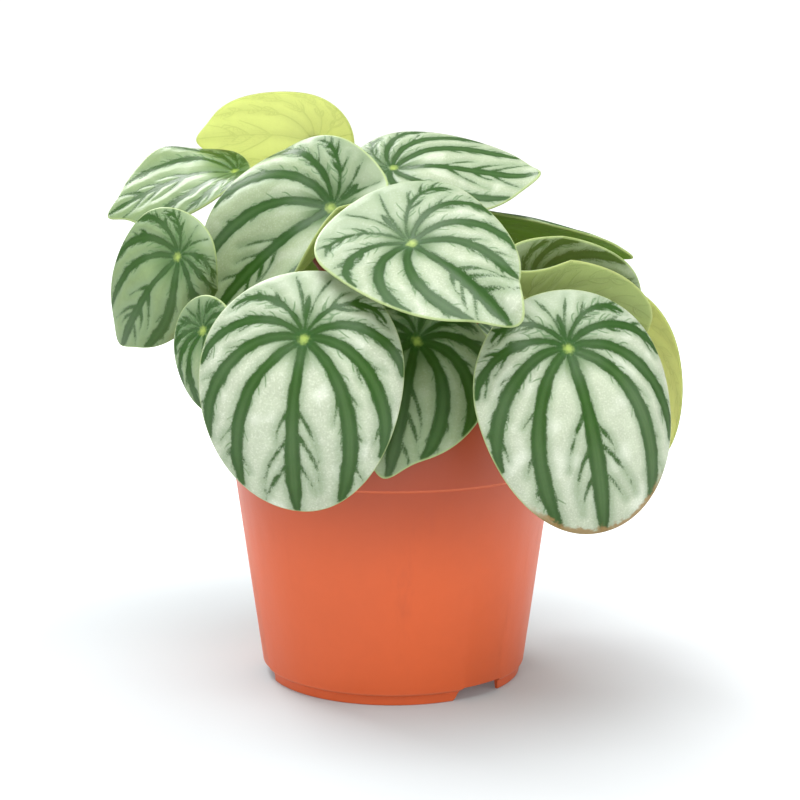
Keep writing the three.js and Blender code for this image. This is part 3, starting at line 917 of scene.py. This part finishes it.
# %% The bands and their frayed edge
def band_cover(net, place, outside):
    """1 on a band, 0 off it. The edge lies where outside + fray + sway = 0."""
    fray = net.swing(place, 2.3, 3.0, 0.75, 1.9)
    sway = net.swing(place, 0.22, 1.0, 0.5, 1.2)
    edge = net.plus(outside, net.plus(fray, sway))
    return net.step(edge, -0.35, 0.35, 1.0, 0.0)


def band_green(net, place, offset, distance, outside):
    """Dark green, paler in a band's middle, with a darker line along it."""
    colour, _ = mottled(net, rgb(34, 76, 20), place, 0.3, 2.4, 0.8)
    colour = net.mix(net.step(outside, -2.4, -0.8, 0.4, 0.0), colour, rgb(92, 124, 74))
    spine = vein_line(net, offset, distance, 0.12, 0.4)
    return net.mix(net.times(spine, 0.4), colour, rgb(46, 88, 34))


# %% The dry tip
def dry_cover(net, place, margin, dryness):
    """How brown the skin is: beside the margin, with a ragged limit, and only at the tip."""
    tip = net.step(net.split(place)[1], 46.0, 54.0)
    ragged = net.plus(margin, net.times(net.noise(place, 0.6, 3.0), -5.6))
    edge = net.times(net.step(ragged, -1.4, 0.3, 0.9, 0.0), dryness)
    return net.times(edge, tip)


# %% Letting light through
def thin_sheet(net, shader, colour, normal, share):
    """A sheet that lets light through: `share` glows in `colour`, the rest is the plain shader."""
    glow = net.add("ShaderNodeBsdfTranslucent", {"Color": colour, "Normal": normal})
    sheet = net.add("ShaderNodeMixShader", {0: share, 1: shader, 2: glow.outputs["BSDF"]})
    net.surface(sheet.outputs["Shader"])


# %% The upper skin's finish
def leaf_top_look():
    look, net = new_look("leaf upper side")
    place = net.attribute("flat_map")
    offset, distance, outside = net.split(net.attribute("band"))
    vein_offset, vein_distance, vein_outside = net.split(net.attribute("vein"))
    silvery, pale, dryness = net.split(net.attribute("tone"))
    margin = net.attribute("margin", "Fac")
    flat = net.add("ShaderNodeVectorMath", {0: place, 1: (1.0, 1.0, 0.0)}, operation="MULTIPLY")
    radius = net.length(flat.outputs[0])

    silver, grain = silver_skin(net, place, outside, radius, silvery)
    dark = band_cover(net, place, outside)
    colour = net.mix(dark, silver, band_green(net, place, offset, distance, outside))
    fine = vein_line(net, vein_offset, vein_distance, 0.1, 0.3)
    thin = net.step(vein_outside, 0.0, 0.5, 0.7, 0.0)
    thin = net.times(thin, net.math("SUBTRACT", 1.0, dark))
    fine = net.times(fine, thin)
    colour = net.mix(fine, colour, rgb(70, 112, 62))
    uneven = net.plus(radius, net.times(net.noise(place, 0.9), 2.4))
    colour = net.mix(net.step(uneven, 1.4, 3.8, 0.85, 0.0), colour, rgb(154, 176, 84))
    colour = net.mix(net.step(margin, 0.25, 0.9, 0.75, 0.0), colour, rgb(170, 190, 124))
    colour = net.mix(dry_cover(net, place, margin, dryness), colour, rgb(150, 118, 72))

    height = net.plus(net.times(grain, 0.5), net.times(dark, -0.35))
    height = net.math("SUBTRACT", height, net.times(fine, 0.3))
    normal = net.bump(height, 0.5, 0.0005)
    shader = net.skin(colour, net.step(dark, 0.0, 1.0, 0.4, 0.32), normal, IOR=1.42)
    washed = net.mix(net.step(pale, 0.3, 1.0, 0.75, 0.88), colour, rgb(224, 222, 172))
    share = net.times(net.step(pale, 0.3, 1.0, 0.16, 0.75), net.step(radius, 1.2, 4.5))
    thin_sheet(net, shader, washed, normal, share)
    return look


leaf_top = leaf_top_look()

# %% [markdown]
# ## The leaf's underside
# Below, the leaf has no silver: it is a matt yellow-green with its main veins as thin, slightly
# darker lines, and more light shines through it. The paler a leaf's underside, the more. Where a
# leaf is lit from behind, its underside is also painted paler: a painted glow.

# %% The lower skin's finish
def leaf_back_look():
    look, net = new_look("leaf underside")
    place = net.attribute("flat_map")
    offset, distance, outside = net.split(net.attribute("band"))
    pale = net.split(net.attribute("tone"))[1]
    # the paler underside colour is partly a painted glow, standing in for light from behind
    full = net.mix(pale, rgb(98, 144, 36), rgb(234, 240, 168))
    colour, grain = mottled(net, full, place, 0.15, 1.6, 0.25)
    colour = net.mix(net.step(outside, -1.5, 1.5, 0.08, 0.0), colour, rgb(110, 140, 56))
    line = vein_line(net, offset, distance, 0.1, 0.3)
    colour = net.mix(net.times(line, 0.14), colour, rgb(104, 132, 50))
    rim = net.step(net.attribute("margin", "Fac"), 0.3, 1.2, 0.6, 0.0)
    colour = net.mix(rim, colour, rgb(204, 214, 140))
    height = net.plus(net.times(grain, 0.4), net.times(line, 0.8))
    normal = net.bump(height, 0.4, 0.0004)
    shader = net.skin(colour, net.step(grain, 0.3, 0.7, 0.42, 0.52), normal, IOR=1.4)
    washed = net.mix(0.5, colour, rgb(226, 244, 160))
    thin_sheet(net, shader, washed, normal, net.step(pale, 0.3, 1.0, 0.35, 0.6))
    return look


leaf_back = leaf_back_look()

# %% Making all the blades
for name, leaf in LEAVES.items():
    piece = blade(name, leaf, [leaf_top, leaf_back])
    stand_for(piece, f"leaf_{name}")
print("points in a blade:", len(piece.data.vertices))

# %% [markdown]
# ## The stalks
# A stalk is a fleshy round stem, wine red near the soil and greener towards its blade. It runs
# along the same curve as in the solid model: up out of the soil, over, and into the blade from
# below. A circle is carried along it, kept from spinning by leaning it on one fixed direction.

# %% The stalk's finish
def stalk_look():
    look, net = new_look("fleshy stalk")
    share = net.attribute("along_stalk", "Fac")
    place = net.add("ShaderNodeTexCoord").outputs["Object"]
    red, grain = mottled(net, rgb(140, 66, 50), place, 60.0, 500.0, 0.5)
    uneven = net.plus(share, net.times(net.noise(place, 90.0), 0.4))
    colour = net.mix(net.step(uneven, 0.65, 1.25), red, rgb(150, 164, 84))
    roughness = net.step(grain, 0.3, 0.7, 0.34, 0.46)
    net.surface(net.skin(colour, roughness, net.bump(grain, 0.3, 0.0004)))
    return look


stalk_finish = stalk_look()

# %% The course of a stalk
STALK = SimpleNamespace(radius=1.6, sink=4.0, half_blade=0.5, top_gap=0.5, end_radius=0.3,
                        sides=18, steps=48)


def stalk_course(leaf):
    """A cubic Bezier from the root to the blade, the same as the solid's, and one more point inside
    the blade, so that the stalk meets its skin. Returns points and directions."""
    facing, tipward, _ = leaf_frame(leaf)
    contact = bent(leaf, np.array(0.0), np.array(0.0))
    approach = contact - 22 * facing - 6 * tipward
    if leaf.via is not None:
        approach = np.array(leaf.via, float)
    arrival = (contact - approach) / np.linalg.norm(contact - approach)
    slant = np.linalg.norm(np.cross(arrival, facing))
    end = contact - facing * (STALK.half_blade + STALK.top_gap + STALK.radius * slant)
    start = np.array([*leaf.root, SOIL_TOP - STALK.sink])
    rise = leaf.climb if leaf.climb is not None else max(32, 0.75 * (end[2] - start[2]))
    knots = [start, start + (0, 0, rise), approach, end]
    into = end + (contact - end) * 0.9
    points = np.concatenate([curve(knots, STALK.steps), [into]])
    ahead = np.gradient(points, axis=0)
    return points, ahead / np.linalg.norm(ahead, axis=1, keepdims=True)


# %% Building one stalk
def stem(name, leaf):
    """A circle carried along the course: P + radius (cos a * U + sin a * V), U and V square to
    the course. The radius swells a little at the root and where it meets the blade."""
    points, ahead = stalk_course(leaf)
    lean = np.array([0.8, 0.6, 0.05])
    u = np.cross(ahead, lean)
    u /= np.linalg.norm(u, axis=1, keepdims=True)
    v = np.cross(ahead, u)
    share = np.linspace(0, 1, len(points))
    foot, head = 0.2 * np.exp(-share / 0.08), 0.14 * np.exp((share - 1) / 0.04)
    radius = STALK.radius * (0.95 + foot + head)
    radius[-1] = STALK.end_radius
    angle = all_round(STALK.sides)[None, :, None]
    ring = np.cos(angle) * u[:, None] + np.sin(angle) * v[:, None]
    tube = (points[:, None] + radius[:, None, None] * ring).reshape(-1, 3)
    every = np.concatenate([tube, points[:1], points[-1:]])
    faces = tube_faces(len(points), STALK.sides)
    piece = make_piece(f"fine_stalk_{name}", every, faces, [stalk_finish])
    store(piece, "along_stalk", np.concatenate([np.repeat(share, STALK.sides), [0.0, 1.0]]))
    stand_for(piece, f"stalk_{name}")


for name, leaf in LEAVES.items():
    stem(name, leaf)
print("stalks:", len(LEAVES))

# %% [markdown]
# ## The studio
# All round the plant is white, brighter than a lit floor could be, and still the plant throws a
# soft shadow. So the floor shines by itself, and its glow dims near the pot: a painted soft shadow
# of the plant, besides the shadows the lamps cast. The light comes mainly from a large soft box
# overhead and one behind, which shines through the thin leaves at the top. Three weaker boxes fill
# in from the left, the right and the front.

# %% The floor
FLOOR_RADIUS, FLOOR_SIDES = 3000, 96


def floor_look():
    look, net = new_look("pale floor")
    place = net.add("ShaderNodeTexCoord").outputs["Object"]
    colour, _ = mottled(net, rgb(176, 181, 183), place, 1.5, 9.0, 0.02)
    aside = net.add("ShaderNodeVectorMath", {0: place, 1: (0.05, 0.0, 0.0)}, operation="ADD")
    away = net.length(aside.outputs[0])
    # the glow is lower near the pot: a painted soft shadow of the plant
    glow = net.mix(net.step(away, 0.08, 0.38), rgb(82, 84, 85), rgb(255, 255, 255))
    shader = net.add("ShaderNodeBsdfPrincipled", {
        "Base Color": colour, "Roughness": 0.9, "Emission Color": glow, "Emission Strength": 1.0,
    })
    net.surface(shader.outputs["BSDF"])
    return look


turn = all_round(FLOOR_SIDES)
rim = FLOOR_RADIUS * np.stack([np.sin(turn), -np.cos(turn), 0 * turn], -1)
disc = fan_faces(FLOOR_SIDES, np.arange(FLOOR_SIDES))
floor = make_piece("floor", np.concatenate([rim, [(0, 0, 0)]]), [(disc, 0)], [floor_look()])
print("floor: a disc 6 m across")

# %% The surroundings
world = bpy.data.worlds.new("white studio")
world.use_nodes = True
bpy.context.scene.world = world
sky = Network(world.node_tree)
world.node_tree.nodes.clear()
seen = sky.add("ShaderNodeLightPath").outputs["Is Camera Ray"]
strength = sky.step(seen, 0.0, 1.0, 0.42, 1.1)
back = sky.add("ShaderNodeBackground", {"Color": (1.0, 1.0, 1.0, 1.0), "Strength": strength})
sky.add("ShaderNodeOutputWorld", {"Surface": back.outputs["Background"]})
bpy.context.scene.view_settings.view_transform = "Standard"


# %% The lights
# place in metres, aim in metres, side in metres, power in watts
SOFTBOXES = {
    "overhead": ((0.02, -0.3, 1.0), (0, 0, 0.1), 0.8, 12),
    "left": ((-1.0, -0.5, 0.5), (0, 0, 0.1), 0.6, 2),
    "right": ((1.1, -0.4, 0.4), (0, 0, 0.1), 0.6, 2.6),
    "front": ((-0.2, -1.3, 0.35), (0, 0, 0.05), 0.6, 2.6),
    "behind": ((-0.5, 0.7, 0.8), (0, 0, 0.19), 0.6, 14),
}


def softbox(name, place, aim, side, power):
    """A square area light at `place` that faces `aim`."""
    lamp = bpy.data.lights.new(name, "AREA")
    lamp.shape, lamp.size, lamp.energy = "SQUARE", side, power
    box = bpy.data.objects.new(name, lamp)
    box.rotation_euler = (Vector(aim) - Vector(place)).to_track_quat("-Z", "Y").to_euler()
    box.location = place
    bpy.context.scene.collection.objects.link(box)


for name, measures in SOFTBOXES.items():
    softbox(name, *measures)
print("soft boxes:", len(SOFTBOXES))

# %% The camera
# fitted to the pot's outline: metres, degrees, focal length and width in pixels, sensor in mm
CAMERA_PLACE, CAMERA_TILT = (0.0024, -0.676, 0.2114), 9.52
FOCAL, PICTURE, SENSOR = 1927, 800, 36

camera_data = bpy.data.cameras.new("camera")
camera_data.sensor_width = SENSOR
camera_data.lens = FOCAL / PICTURE * SENSOR
camera = bpy.data.objects.new("camera", camera_data)
camera.location = CAMERA_PLACE
camera.rotation_euler = (np.radians(90 - CAMERA_TILT), 0, 0)
bpy.context.scene.collection.objects.link(camera)
bpy.context.scene.camera = camera
print("camera at", tuple(camera.location))
